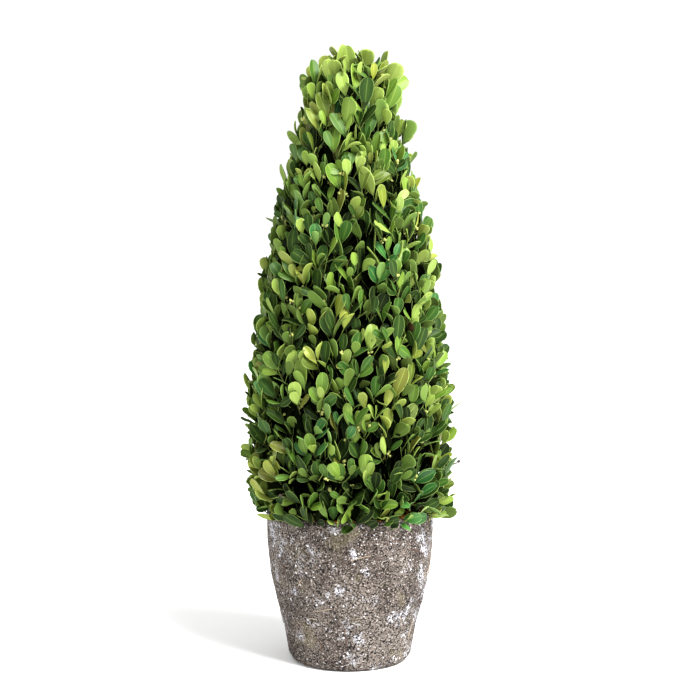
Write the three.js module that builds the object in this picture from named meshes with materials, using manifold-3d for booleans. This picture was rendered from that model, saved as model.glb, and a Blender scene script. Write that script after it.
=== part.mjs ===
// A boxwood clipped to a slim cone, in a rough round fibre-cement pot.
// Millimetres, +Z up. The origin is the centre of the pot's flat underside.
//
// The pot is a hollow lathe form filled with potting fibre. A short tapered stem stands on the fibre and
// runs up inside the foliage. The clipped crown is five masses stacked round the stem like nested cups.
// Each mass is a core ring that clears the stem, with three-sided twigs that branch out of it and carry
// opposite pairs of leaves.

import * as THREE from "three";
import { mergeVertices } from "three/addons/utils/BufferGeometryUtils.js";
import Module from "manifold-3d";

const wasm = await Module();
wasm.setup();

// ---------------------------------------------------------------- driving dimensions

const TOTAL_HEIGHT = 533; // underside of the pot to the tip of the highest leaf
const SEED = 2;
const GAP = 0.3; // between solids that touch on the real object
const ROUND_SEGMENTS = 16; // of the stem and the cores

const POT = {
  height: 135,
  wall: 9,
  floor: 12,
  footRound: 6, // radius of the rounded edge at the foot
  footSteps: 3,
  rimRound: 3,
  insideFoot: 8, // above the floor, where the inside wall starts
  clearance: 1, // from the rim to the twigs and leaves that hang over it
  // Outer radius at each height, from the foot's round to the rim.
  outline: [
    [6, 54],
    [30, 57.5],
    [54, 64],
    [78, 69.5],
    [104, 72],
    [135, 72.5],
  ],
  outlineSteps: 9,
  segments: 36,
};

const FILL = { top: 131, edge: 3, seatRadius: 24 }; // the fibre's flat top, its worn edge and the stem's seat

const STEM = { radius: 8, tipRadius: 3.5, flareRadius: 12, flareHeight: 14, top: 452 };

// The crown's clipped outline: leaf tips reach this radius. It is widest at the shoulder.
const CROWN = {
  bottom: 120,
  bottomRadius: 82,
  shoulder: 176,
  shoulderRadius: 94,
  top: 512,
  topRadius: 38,
  bulge: 9, // how far the side stands out of a straight cone, at its middle
  crest: 0.5, // the flat top's radius, as a share of topRadius
  straggle: 2, // how far past the outline the last tips may reach
};

// The core is the crown's outline drawn in by the depth of the leafy shell.
const CORE = { bottom: 132, footRadius: 56, top: 484, tip: 487, lowDepth: 30, highDepth: 23, steps: 3 };

// Rings of sprigs on the core, and the tuft of sprigs at its tip.
const RING = { count: 12, lowest: 144, highest: 434, pitchRound: 43, scatter: 0.14, overhang: 7 };
const TUFT = { count: 9, height: 462, rise: 68, length: 24 };
const TIERS = ["foliage_skirt", "foliage_lower", "foliage_middle", "foliage_upper", "foliage_crown"];
const RINGS_PER_TIER = 3;

// A sprig's rise above level, in degrees, by height up the crown.
const RISE = { lowest: -20, shoulder: 42, highest: 60 };

const SPRIG = {
  radius: 2.4, // of the three-sided twig where it leaves the core
  sink: 5, // how deep the twig's root is in the core
  order: 1, // how often a sprig's twigs branch
  branching: 0.3, // the chance of each side twig
  taper: 0.7, // a twig's radius at its end, as a share of its base
  roll: 15, // degrees from a twig's edge to its side
  least: 12, // the shortest twig outside the core
  thinning: 0.38, // a side twig's radius as a share of its parent's
  sideShare: 0.55, // and its length
  uneven: 0.15, // how far that length varies
  rootOffset: 0.2, // of a leaf or side twig from its twig's axis, as a share of the twig's radius
  sideAt: [0.5, 0.64], // where the two side twigs branch off, as shares of the length
  sideAngle: 46,
  pairAt: [0.8, 0.8], // where the pair of leaves below the end sits
  pairAngle: 52,
  endAt: [0.98, 0.98], // where the last pair sits
  endAngle: 22,
  jitter: 9, // degrees of random turn on each heading
};

const LEAF = {
  length: 36,
  width: 22,
  shoulderAt: 0.6, // where it is widest, as a share of the length
  tipAt: 0.97,
  tipWidth: 0.42, // of its blunt end, as a share of the width
  ridgeAt: 0.3,
  thickness: 2, // at the ridge point
  cup: 0.3, // how far the sides curl up and the tip down
  least: 0.8, // the smallest leaf, as a share of the full size
  facing: 0.5, // how far its upper side turns from outward to its twig's heading
  lift: 0.9, // how far the last try turns it along the crown's side
  tries: 12,
};

const COLOURS = {
  pot: 0x7c7168,
  fill: 0x6b4a2c,
  stem: 0x6a5238,
  foliage_skirt: 0x3f6a24,
  foliage_lower: 0x4a7628,
  foliage_middle: 0x53802b,
  foliage_upper: 0x5f8d30,
  foliage_crown: 0x74a03a,
};

// ---------------------------------------------------------------- helpers

const degrees = THREE.MathUtils.degToRad;
const UP = new THREE.Vector3(0, 0, 1);

// A small seeded generator (mulberry32), so that every run grows the same plant.
function generator(seed) {
  let state = seed >>> 0;
  return () => {
    state = (state + 0x6d2b79f5) >>> 0;
    let t = state;
    t = Math.imul(t ^ (t >>> 15), t | 1);
    t ^= t + Math.imul(t ^ (t >>> 7), t | 61);
    return ((t ^ (t >>> 14)) >>> 0) / 4294967296;
  };
}

const random = generator(SEED);
const spread = (amount) => (random() * 2 - 1) * amount;

function mix(a, b, share) {
  return a + (b - a) * share;
}

function clamp01(value) {
  return Math.min(1, Math.max(0, value));
}

// Turns a profile of [radius, height] points into a solid of revolution about Z.
function latheGeometry(profile, segments) {
  const points = profile.map(([radius, height]) => new THREE.Vector2(radius, height));
  return new THREE.LatheGeometry(points, segments).rotateX(Math.PI / 2);
}

function solidOf(geometry) {
  const plain = geometry.clone();
  plain.deleteAttribute("normal");
  plain.deleteAttribute("uv");
  const merged = mergeVertices(plain, 1e-4);
  return new wasm.Manifold(
    new wasm.Mesh({
      numProp: 3,
      vertProperties: new Float32Array(merged.attributes.position.array),
      triVerts: new Uint32Array(merged.index.array),
    }),
  );
}

function geometryOf(solid) {
  const mesh = solid.getMesh();
  const geometry = new THREE.BufferGeometry();
  geometry.setAttribute("position", new THREE.BufferAttribute(mesh.vertProperties, 3));
  geometry.setIndex(new THREE.BufferAttribute(mesh.triVerts, 1));
  return geometry.toNonIndexed();
}

// Joins solids into one body. A loose scrap is dropped and a sealed hollow is filled.
function fuse(solids) {
  const bodies = wasm.Manifold.union(solids).decompose();
  return bodies.reduce((largest, body) => (body.volume() > largest.volume() ? body : largest));
}

const group = new THREE.Group();

function addNode(name, geometry, roughness) {
  geometry.computeVertexNormals();
  const colour = COLOURS[name] ?? COLOURS.fill;
  const material = new THREE.MeshStandardMaterial({ color: colour, roughness, metalness: 0 });
  const mesh = new THREE.Mesh(geometry, material);
  mesh.name = name;
  group.add(mesh);
}

// ---------------------------------------------------------------- pot, fill and stem

// The pot's outer radius at a height, on a smooth curve through the outline's points.
const potCurve = new THREE.CatmullRomCurve3(
  POT.outline.map(([height, radius]) => new THREE.Vector3(radius, height, 0)),
);

function potOutline(steps) {
  return potCurve.getPoints(steps).map((point) => [point.x, point.y]);
}

function potRadius(height) {
  const points = potOutline(4 * POT.outlineSteps);
  const above = points.findIndex((point) => point[1] >= height);
  if (above < 1) return points[above === 0 ? 0 : points.length - 1][0];
  const [r0, z0] = points[above - 1];
  const [r1, z1] = points[above];
  return mix(r0, r1, (height - z0) / (z1 - z0));
}

// The radius of the pot's floor inside, under the slope of the inside wall's foot.
const floorRadius = potRadius(POT.floor) - POT.wall - 3;

function potGeometry() {
  const footCentre = POT.outline[0][1] - POT.footRound;
  const foot = Array.from({ length: POT.footSteps }, (_, i) => {
    const angle = (i / POT.footSteps) * (Math.PI / 2);
    const radius = footCentre + POT.footRound * Math.sin(angle);
    return [radius, POT.footRound * (1 - Math.cos(angle))];
  });
  const outer = potOutline(POT.outlineSteps);
  const rim = POT.outline.at(-1)[1];
  const underRim = POT.height - POT.rimRound;
  const inner = outer
    .filter(([, height]) => height > POT.floor + POT.insideFoot && height < underRim)
    .map(([radius, height]) => [radius - POT.wall, height])
    .reverse();
  const profile = [
    [0, 0],
    ...foot,
    ...outer.slice(0, -1),
    [rim, underRim],
    [rim - POT.rimRound, POT.height],
    [rim - POT.wall + POT.rimRound, POT.height],
    [rim - POT.wall, underRim],
    ...inner,
    [floorRadius, POT.floor],
    [0, POT.floor],
  ];
  return latheGeometry(profile, POT.segments);
}

function fillGeometry() {
  const foot = POT.floor + GAP;
  const inside = (height) => potRadius(height) - POT.wall - 2 * GAP;
  const heights = [36, 72, FILL.top - FILL.edge];
  const profile = [
    [0, foot],
    [floorRadius - 1, foot],
    ...heights.map((height) => [inside(height), height]),
    [inside(FILL.top) - FILL.edge, FILL.top],
    [FILL.seatRadius, FILL.top],
    [0, FILL.top],
  ];
  return latheGeometry(profile, POT.segments);
}

// The stem's radius at a height: a root flare at the foot, then an even taper.
function stemRadius(height) {
  const foot = FILL.top + GAP;
  const flare = Math.max(0, 1 - (height - foot) / STEM.flareHeight);
  const taper = mix(STEM.radius, STEM.tipRadius, (height - foot) / (STEM.top - foot));
  return taper + (STEM.flareRadius - STEM.radius) * flare * flare;
}

function stemHeights() {
  const foot = FILL.top + GAP;
  const flare = [0, 0.35, 0.7, 1].map((share) => foot + share * STEM.flareHeight);
  return [...flare, STEM.top];
}

function stemGeometry() {
  const side = stemHeights().map((height) => [stemRadius(height), height]);
  return latheGeometry([[0, side[0][1]], ...side, [0, STEM.top]], ROUND_SEGMENTS);
}

// ---------------------------------------------------------------- the crown's outline and spaces

// The radius that leaf tips reach at a height.
function crownRadius(height) {
  if (height < CROWN.shoulder) {
    const share = clamp01((height - CROWN.bottom) / (CROWN.shoulder - CROWN.bottom));
    return mix(CROWN.bottomRadius, CROWN.shoulderRadius, Math.sin((share * Math.PI) / 2));
  }
  const share = (height - CROWN.shoulder) / (CROWN.top - CROWN.shoulder);
  const cone = mix(CROWN.shoulderRadius, CROWN.topRadius, share);
  return cone + CROWN.bulge * Math.sin(Math.PI * clamp01(share));
}

function coreRadius(height) {
  const share = clamp01((height - CORE.bottom) / (CORE.top - CORE.bottom));
  const foot = clamp01((height - CORE.bottom) / (RING.lowest - CORE.bottom));
  const depth = mix(CORE.lowDepth, CORE.highDepth, share);
  const full = crownRadius(Math.max(height, RING.lowest)) - depth;
  return mix(CORE.footRadius, full, foot);
}

// How steeply a sprig that leaves the core at a height rises.
function rise(height) {
  if (height < CROWN.shoulder) {
    const share = (height - RING.lowest) / (CROWN.shoulder - RING.lowest);
    return degrees(mix(RISE.lowest, RISE.shoulder, clamp01(share)));
  }
  const share = (height - CROWN.shoulder) / (RING.highest - CROWN.shoulder);
  return degrees(mix(RISE.shoulder, RISE.highest, Math.sqrt(clamp01(share))));
}

// Neighbouring masses meet on a cone that opens upwards, along the sprigs at that height.
function seamAt(height) {
  const slope = Math.tan(rise(height));
  const radius = coreRadius(height);
  return { slope, height, radius, at: (r) => height + (r - radius) * slope };
}

const ringPitch = (RING.highest - RING.lowest) / (RING.count - 1);
const ringHeight = (index) => RING.lowest + index * ringPitch;
const seams = TIERS.slice(1).map((_, i) => seamAt(ringHeight((i + 1) * RINGS_PER_TIER - 0.5)));

// All that the crown's tips may fill: its clipped outline, with a round shoulder at the top.
function outlineSolid() {
  const steps = 12;
  const side = Array.from({ length: steps + 1 }, (_, i) => {
    const height = mix(CROWN.bottom, CROWN.top, i / steps);
    return [crownRadius(height) + CROWN.straggle, height];
  });
  const crest = (CROWN.topRadius + CROWN.straggle) * CROWN.crest;
  const profile = [[0, CROWN.bottom], ...side, [crest, TOTAL_HEIGHT], [0, TOTAL_HEIGHT]];
  return solidOf(latheGeometry(profile, 2 * ROUND_SEGMENTS));
}

// The space a mass keeps to: the part of the outline between its seams, over and past the pot's rim.
function spaceSolid(tier) {
  const far = 2 * CROWN.shoulderRadius;
  const half = GAP / 2;
  const below = seams[tier - 1];
  const above = seams[tier];
  const overRim = POT.height + POT.clearance;
  const pastRim = POT.outline.at(-1)[1] + POT.clearance;
  const floor = below
    ? [[0, below.at(0) + half]]
    : [
        [0, overRim],
        [pastRim, overRim],
        [pastRim, CROWN.bottom],
        [far, CROWN.bottom],
      ];
  if (!above) {
    const edge = below.radius + (TOTAL_HEIGHT - half - below.height) / below.slope;
    const tip = latheGeometry([...floor, [edge, TOTAL_HEIGHT], [0, TOTAL_HEIGHT]], ROUND_SEGMENTS);
    return solidOf(tip).intersect(outlineSolid());
  }
  const outer = below ? [[far, below.at(far) + half]] : [];
  const ceiling = [[far, above.at(far) - half], [0, above.at(0) - half]];
  const layer = latheGeometry([...floor, ...outer, ...ceiling], ROUND_SEGMENTS);
  return solidOf(layer).intersect(outlineSolid());
}

// ---------------------------------------------------------------- twigs and leaves

// A leaf of eight faces: a blunt outline of five points, and a ridge point on its upper side.
function leafPoints(root, heading, face, scale) {
  const across = new THREE.Vector3().crossVectors(face, heading).normalize();
  const upper = new THREE.Vector3().crossVectors(heading, across).normalize();
  const length = LEAF.length * scale;
  const half = (LEAF.width * scale) / 2;
  const at = (along, side, lift) =>
    root
      .clone()
      .addScaledVector(heading, along * length)
      .addScaledVector(across, side * half)
      .addScaledVector(upper, lift);
  return [
    at(0, 0, 0),
    at(LEAF.shoulderAt, -1, LEAF.cup),
    at(LEAF.tipAt, -LEAF.tipWidth, -LEAF.cup),
    at(LEAF.tipAt, LEAF.tipWidth, -LEAF.cup),
    at(LEAF.shoulderAt, 1, LEAF.cup),
    at(LEAF.ridgeAt, 0, LEAF.thickness),
  ];
}

function leafSolid(points) {
  const upperFaces = [0, 1, 2, 3, 4].map((i) => [5, i, (i + 1) % 5]);
  const lowerFaces = [
    [0, 4, 1],
    [1, 4, 3],
    [1, 3, 2],
  ];
  const geometry = new THREE.BufferGeometry();
  const position = new Float32Array(points.flatMap((point) => point.toArray()));
  geometry.setAttribute("position", new THREE.BufferAttribute(position, 3));
  geometry.setIndex([...upperFaces, ...lowerFaces].flat());
  return solidOf(geometry);
}

// A three-sided twig that tapers from its base. Its roll keeps its edges off the ways that leaves take.
function twigSolid({ base, heading, side, length, radius }) {
  const across = new THREE.Vector3().crossVectors(side, heading);
  const geometry = new THREE.CylinderGeometry(radius * SPRIG.taper, radius, length, 3)
    .rotateY(degrees(SPRIG.roll))
    .translate(0, length / 2, 0)
    .applyMatrix4(new THREE.Matrix4().makeBasis(side, heading, across).setPosition(base));
  return solidOf(geometry);
}

// The heading turned towards side by an angle, with a little seeded scatter.
function turned(heading, side, angle) {
  const scatter = new THREE.Vector3(spread(1), spread(1), spread(1));
  return heading
    .clone()
    .multiplyScalar(Math.cos(angle))
    .addScaledVector(side, Math.sin(angle))
    .addScaledVector(scatter, degrees(SPRIG.jitter))
    .normalize();
}

function boxesMeet(a, b) {
  return a.min.every((low, axis) => low < b.max[axis] && b.min[axis] < a.max[axis]);
}

function crosses(solid, others) {
  const box = solid.boundingBox();
  const near = others.filter((other) => boxesMeet(box, other.boundingBox()));
  return near.some((other) => !solid.intersect(other).isEmpty());
}

function leavesSpace(mass, solid) {
  return !solid.subtract(mass.space).isEmpty();
}

// Two bases for leaves or side twigs on opposite sides of a twig, inside it and offset from its axis.
function sites(twig, shares, side, angle) {
  const offset = twig.radius * SPRIG.rootOffset;
  return [side, side.clone().negate()].map((way, i) => ({
    twig,
    base: twig.base
      .clone()
      .addScaledVector(twig.heading, twig.length * shares[i])
      .addScaledVector(way, offset),
    way,
    angle: degrees(angle),
  }));
}

// A twig, the sites of its leaves and, while order lasts, its side twigs. Each pair of leaves, and the pair
// of side twigs, is turned a quarter round from the pair above. A twig that would leave the mass's space
// or cross another, apart from its kin at its own root, is left out with all that it would carry.
function growTwig(mass, twig, order, kin) {
  const { heading, side, length, radius } = twig;
  twig.solid = twigSolid(twig);
  const others = mass.twigs.filter((other) => !kin.includes(other)).map((other) => other.solid);
  if (leavesSpace(mass, twig.solid) || crosses(twig.solid, others)) return;
  mass.twigs.push(twig);
  const crossed = new THREE.Vector3().crossVectors(heading, side).normalize();
  mass.sites.push(...sites(twig, SPRIG.endAt, side, SPRIG.endAngle));
  if (order === 0) return;
  mass.sites.push(...sites(twig, SPRIG.pairAt, crossed, SPRIG.pairAngle));
  const family = [twig];
  const branches = sites(twig, SPRIG.sideAt, side, SPRIG.sideAngle);
  for (const site of branches.filter(() => random() < SPRIG.branching)) {
    const towards = turned(heading, site.way, site.angle);
    const branch = {
      base: site.base,
      heading: towards,
      side: new THREE.Vector3().crossVectors(towards, crossed).normalize(),
      length: length * SPRIG.sideShare * (1 + spread(SPRIG.uneven)),
      radius: radius * SPRIG.thinning,
    };
    growTwig(mass, branch, order - 1, family);
    family.push(branch);
  }
}

// A leaf at its site. Where it would leave the mass's space or cross another leaf or twig it turns closer
// to the crown's side, now down and now up on a hanging twig. After the last try it is left out.
function growLeaf(mass, { twig, base, way, angle }) {
  const others = mass.twigs.filter((other) => other !== twig).map((other) => other.solid);
  for (let attempt = 0; attempt < LEAF.tries; attempt += 1) {
    const turn = attempt / LEAF.tries;
    const along = UP.clone().multiplyScalar(twig.heading.z < 0 && attempt % 2 === 0 ? -1 : 1);
    const towards = turned(twig.heading, way, angle + spread(turn))
      .lerp(along, turn * LEAF.lift)
      .normalize();
    const face = new THREE.Vector3(base.x + way.x, base.y + way.y, 0)
      .normalize()
      .addScaledVector(twig.heading, LEAF.facing);
    const points = leafPoints(base, towards, face, mix(LEAF.least, 1, random()));
    const solid = leafSolid(points);
    if (leavesSpace(mass, solid) || crosses(solid, mass.leaves) || crosses(solid, others)) continue;
    mass.leaves.push(solid);
    return;
  }
}

// A sprig leaves the core at an azimuth and height, and rises by an angle from level.
function growSprig(mass, azimuth, height, elevation, length) {
  const outward = new THREE.Vector3(Math.cos(azimuth), Math.sin(azimuth), 0);
  const level = new THREE.Vector3(-Math.sin(azimuth), Math.cos(azimuth), 0);
  const heading = outward
    .clone()
    .multiplyScalar(Math.cos(elevation))
    .addScaledVector(UP, Math.sin(elevation));
  const base = outward
    .multiplyScalar(coreRadius(height))
    .addScaledVector(UP, height)
    .addScaledVector(heading, -SPRIG.sink);
  const side = level.applyAxisAngle(heading, random() * Math.PI);
  growTwig(mass, { base, heading, side, length, radius: SPRIG.radius }, SPRIG.order, []);
}

const LEADER_LEAF = 0.88; // the size of the highest leaves, as a share of the full size
const LEAF_TIP = LEAF.length * Math.cos(degrees(SPRIG.endAngle)); // a leaf's reach past its twig's end

// How long a sprig's twig is for its leaf tips to reach the crown's outline.
function sprigLength(height, elevation) {
  const start = coreRadius(height);
  let reach = 0;
  while (start + reach * Math.cos(elevation) < crownRadius(height + reach * Math.sin(elevation))) {
    reach += 1;
  }
  return Math.max(SPRIG.least, reach - LEAF_TIP) + SPRIG.sink;
}

function growRing(mass, index) {
  const height = ringHeight(index);
  const middle = (coreRadius(height) + crownRadius(height)) / 2;
  const count = Math.round((2 * Math.PI * middle) / RING.pitchRound);
  const offset = index % 2 ? 0.5 : 0; // the sprigs of a ring stand between those of the ring below
  const overhang = index === 0 ? RING.overhang : 0; // the lowest sprigs reach out over the pot's rim
  for (let i = 0; i < count; i += 1) {
    const azimuth = ((i + offset + spread(RING.scatter)) * 2 * Math.PI) / count;
    const from = height + ringPitch * spread(RING.scatter);
    const elevation = rise(from) + degrees(spread(SPRIG.jitter));
    growSprig(mass, azimuth, from, elevation, sprigLength(from, elevation) + overhang);
  }
}

// The tuft at the tip: an upright sprig in a ring of steep ones.
function growTuft(mass) {
  for (let i = 0; i < TUFT.count; i += 1) {
    const azimuth = ((i + spread(RING.scatter)) * 2 * Math.PI) / TUFT.count;
    growSprig(mass, azimuth, TUFT.height, degrees(TUFT.rise + spread(SPRIG.jitter)), TUFT.length);
  }
  const upright = {
    base: new THREE.Vector3(0, 0, CORE.top - SPRIG.sink),
    heading: UP,
    side: new THREE.Vector3(1, 0, 0),
    length: TOTAL_HEIGHT - LEADER_LEAF * LEAF_TIP - CORE.top + SPRIG.sink,
    radius: SPRIG.radius,
  };
  growTwig(mass, upright, SPRIG.order, []);
}

// ---------------------------------------------------------------- the masses

// A mass's core: the part of the clipped core between two seams, bored to clear the stem.
function coreGeometry(tier) {
  const below = seams[tier - 1];
  const above = seams[tier];
  const half = GAP / 2;
  const lowHeight = below ? below.height + half : CORE.bottom;
  const bore = (height) => Math.max(stemRadius(height), STEM.tipRadius) + GAP;
  const innerLow = below ? below.at(bore(lowHeight)) + half : CORE.bottom;
  const topHeight = above ? above.height - half : CORE.top;
  const side = Array.from({ length: CORE.steps + 1 }, (_, i) => {
    const height = mix(lowHeight, topHeight, i / CORE.steps);
    return [coreRadius(height), height];
  });
  if (!above) {
    const ceiling = STEM.top + GAP;
    const profile = [
      [0, ceiling],
      [bore(ceiling), ceiling],
      [bore(innerLow), innerLow],
      ...side,
      [0, CORE.tip],
    ];
    return latheGeometry(profile, ROUND_SEGMENTS);
  }
  const innerTop = above.at(bore(topHeight)) - half;
  const flare = stemHeights()
    .filter((height) => height > innerLow && height < innerTop)
    .map((height) => [bore(height), height])
    .reverse();
  const profile = [[bore(innerLow), innerLow], ...side, [bore(innerTop), innerTop], ...flare];
  return latheGeometry([...profile, profile[0]], ROUND_SEGMENTS);
}

function massGeometry(tier) {
  const mass = { twigs: [], sites: [], leaves: [], space: spaceSolid(tier) };
  if (tier === TIERS.length - 1) {
    growTuft(mass);
  } else {
    for (let i = 0; i < RINGS_PER_TIER; i += 1) growRing(mass, tier * RINGS_PER_TIER + i);
  }
  mass.sites.forEach((site) => growLeaf(mass, site));
  const core = solidOf(coreGeometry(tier));
  return geometryOf(fuse([core, ...mass.twigs.map((twig) => twig.solid), ...mass.leaves]));
}

// ---------------------------------------------------------------- assembly

addNode("pot", potGeometry(), 0.95);
addNode("potting_fill", fillGeometry(), 0.95);
addNode("stem", stemGeometry(), 0.85);
TIERS.forEach((name, tier) => addNode(name, massGeometry(tier), 0.5));

export default group;
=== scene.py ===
"""Looks of the boxwood cone topiary: leaves and twigs grown by the part's own rule, pot, stem and studio.

Sizes are in millimetres unless a comment says otherwise, and MM turns them into the frame's metres. Every
random draw is seeded, so each run grows the same plant.
"""

import math
from types import SimpleNamespace as Values

import bpy
import numpy as np
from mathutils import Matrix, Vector, noise


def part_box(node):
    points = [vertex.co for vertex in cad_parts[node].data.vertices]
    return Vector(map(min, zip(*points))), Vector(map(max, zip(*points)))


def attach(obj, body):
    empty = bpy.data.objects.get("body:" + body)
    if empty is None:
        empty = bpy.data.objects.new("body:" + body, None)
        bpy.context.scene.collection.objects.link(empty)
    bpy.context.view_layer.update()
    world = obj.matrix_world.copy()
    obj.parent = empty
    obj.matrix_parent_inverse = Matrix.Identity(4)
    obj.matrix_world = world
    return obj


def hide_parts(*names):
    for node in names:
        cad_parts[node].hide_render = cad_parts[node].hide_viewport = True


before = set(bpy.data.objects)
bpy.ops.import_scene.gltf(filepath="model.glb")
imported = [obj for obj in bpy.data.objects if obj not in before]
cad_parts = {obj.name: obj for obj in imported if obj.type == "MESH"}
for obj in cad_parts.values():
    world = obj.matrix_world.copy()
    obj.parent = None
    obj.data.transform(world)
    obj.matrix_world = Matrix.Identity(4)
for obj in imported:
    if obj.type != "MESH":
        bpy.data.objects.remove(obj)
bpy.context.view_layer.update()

MM = 0.001
UP = np.array([0.0, 0.0, 1.0])
TINY = 1e-9
SEED = 7
TIERS = ["skirt", "lower", "middle", "upper", "crown"]


def node_box(node):
    """A CAD node's lowest and highest corner in millimetres."""
    low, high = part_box(node)
    return np.array(low) / MM, np.array(high) / MM


POT_BOX = node_box("pot")
FILL_BOX = node_box("potting_fill")
STEM_BOX = node_box("stem")
TOTAL_HEIGHT = node_box("foliage_crown")[1][2]
POT_HEIGHT = POT_BOX[1][2]
RIM_RADIUS = POT_BOX[1][0]
FILL_TOP = FILL_BOX[1][2]

# ---------------- the crown's rule, as in the part's source

CROWN = Values(
    bottom=120, bottom_radius=82, shoulder=176, shoulder_radius=94, top=512, top_radius=38, bulge=9,
    crest=0.72,
)
# Where the crown is a little slimmer than the plain cone, by how much, and over how much height.
WAIST = Values(height=462, depth=4, spread=28)
CORE = Values(bottom=132, foot_radius=56, top=484, tip=487, low_depth=30, high_depth=23)
RING = Values(count=12, lowest=144, highest=434, scatter=0.14)
RINGS_PER_TIER = 3
RISE = Values(lowest=-20, shoulder=42, highest=60)

# The finer growth: rings between the source's rings, and more pairs of smaller leaves on each twig. Angles
# are in degrees. Leaves leave a twig at low_angle at its base and at end_angle at its tip.
FINER = 2
SPRIG = Values(
    pitch=22, radius=0.8, taper=0.5, sink=6, least=16, lengths=(0.86, 1.04),
    leaf_sizes=(0.88, 1.12), end_angle=22, low_angle=48, pair_turn=18, last_pair=0.985, bare=6.0,
    internode=3.4, growth=1.18, jitter=12, bend=0.22, bend_scatter=0.3, steps=6,
)
# A sprig's side twigs: the share of places between lowest and highest that bear one, and their measures.
# Length, bare, radius and leaf are shares, and past is the share of a leaf that reaches past the twig.
SIDE = Values(
    share=0.5, lowest=0.35, highest=0.85, angle=36, scatter=0.08, length=0.6, lengths=(0.75, 1.1),
    least_mm=7.0, past=0.6, bare=0.2, radius=0.6, leaf=0.92, bend_scatter=0.5, steps=4,
)
# The tuft's rings of sprigs, each with its radius, height, count and rise.
TUFT = [
    (2, 486, 3, 84),
    (10, 482, 6, 75),
    (17, 477, 9, 64),
    (22, 470, 11, 54),
    (24, 459, 13, 52),
    (25, 447, 13, 55),
]
# How those rings are turned by their radius, how much shorter sprigs may be and how their starts scatter.
TUFT_TURN = 0.1
TUFT_SHORTER = 4
TUFT_SCATTER = 2
# How far the tuft's top is lower at the crown's top radius than at the axis.
CREST_DROP = 15
# Leaf lengths, how often a leaf is tried, how long old leaves and young ones are to the usual one, where on a
# twig young ones start, and the share of a tip leaf that reaches past its twig.
LEAF = Values(
    length=21.5, spread=3.6, shortest=13, longest=31, tries=7, old=1.05, young=0.87, young_from=0.6,
    past=0.85,
)
# How a leaf stands: the scatter of its angle and its lift, how much more of each by its last try, the scatter
# of its direction, its roll in degrees, how far its face turns outward, and how it shortens to fit.
STANCE = Values(
    angle=0.16, angle_more=0.5, lift=0.12, lift_more=0.6, scatter=0.1, roll=34, facing=0.4,
    ahead=0.5, shorter=0.985,
)
# How far leaf tips stay from the core, from the rim's top and from its side.
GAP = Values(core=1, rim_top=2, rim_side=3)
# How much larger leaves are on the tuft and on strays.
TUFT_LEAF = 1.36
STRAY_LEAF = 1.2
# How far leaf tips stay inside the crown's side, how far the usual one straggles beyond that, and the most.
OUTLINE = Values(inset=2.2, straggle=2.2, most=6.5)
# Extra sprigs: azimuth, radius, height, rise, length and how far clear of the outline their leaves may stand.
# The last two only fill the skirt's front.
STRAYS = [
    (-6, 16, 479, 36, 24, 13),
    (176, 14, 484, 48, 20, 8),
    (150, 20, 470, 48, 24, 8),
    (4, 34, 434, 40, 24, 11),
    (-12, 66, 137, -13, 16, 10),
    (-4, 62, 128, -18, 18, 9),
    (-90, 54, 152, 6, 20, -OUTLINE.inset),
    (-76, 56, 146, -2, 20, -OUTLINE.inset),
]
# Leaves deeper than this below the crown's side are the plain inner kind.
INNER_DEPTH = 12
# The darkest tones are painted shade: leaves less deep than the first aren't of the darkest tone, and less
# deep than the second not of the next.
SHADE_DEPTH = 9
DIM_DEPTH = 5
# The tangle behind the leaves, coloured near black as painted shade, and how far it lies inside the source's
# core and below its top.
TANGLE = Values(depth=6, top_drop=4, rows=60, segments=96, lump=0.05, lump_scale=0.22)
# The share of leaf pairs that hold a cluster of buds, and how many and how large they are.
BUDS = Values(share=0.05, count=(3, 6), sizes=(0.8, 1.4), scatter=0.6)
BUD_SIDES = 6
BUD_STEP = 0.6
BUD_SWELL = [0.3, 0.9, 1.0, 0.7, 0.15]
BUD, SEED_HEAD, SEED_STALK = range(3)
# How low leaves hang over the rim, how much the hem tilts and towards which azimuth it is highest, and by how
# much the odd leaf hangs lower, usually and at most.
HEM = Values(height=135, tilt=3.5, high_side=205, odd=2.5, most=13)
# The azimuths and heights of the dry seed heads, and the stalks that carry them out from inside the crown.
SEED_HEADS = [(-2, 172), (118, 214), (231, 156)]
STALK = Values(points=5, inside=17, step=4, drop=5, climb=1.6, radius=0.7)
SEED_SIZE = 1.5
SEED_NOD = 0.4


def mix(a, b, share):
    return a + (b - a) * share


def clamp01(value):
    return min(1.0, max(0.0, value))


def crown_radius(height):
    """The radius that leaf tips reach at a height."""
    if height < CROWN.shoulder:
        share = clamp01((height - CROWN.bottom) / (CROWN.shoulder - CROWN.bottom))
        return mix(CROWN.bottom_radius, CROWN.shoulder_radius, math.sin(share * math.pi / 2))
    if height > CROWN.top:
        share = clamp01((height - CROWN.top) / (TOTAL_HEIGHT - CROWN.top))
        return CROWN.top_radius * mix(1, CROWN.crest, share)
    share = (height - CROWN.shoulder) / (CROWN.top - CROWN.shoulder)
    cone = mix(CROWN.shoulder_radius, CROWN.top_radius, share)
    waist = WAIST.depth * math.exp(-(((height - WAIST.height) / WAIST.spread) ** 2))
    return cone + CROWN.bulge * math.sin(math.pi * share) - waist


def core_radius(height):
    share = clamp01((height - CORE.bottom) / (CORE.top - CORE.bottom))
    foot = clamp01((height - CORE.bottom) / (RING.lowest - CORE.bottom))
    full = crown_radius(max(height, RING.lowest)) - mix(CORE.low_depth, CORE.high_depth, share)
    return mix(CORE.foot_radius, full, foot)


def rise(height):
    """How steeply a sprig that leaves the core at a height rises, in degrees."""
    if height < CROWN.shoulder:
        share = (height - RING.lowest) / (CROWN.shoulder - RING.lowest)
        return mix(RISE.lowest, RISE.shoulder, clamp01(share))
    share = (height - CROWN.shoulder) / (RING.highest - CROWN.shoulder)
    return mix(RISE.shoulder, RISE.highest, math.sqrt(clamp01(share)))


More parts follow.
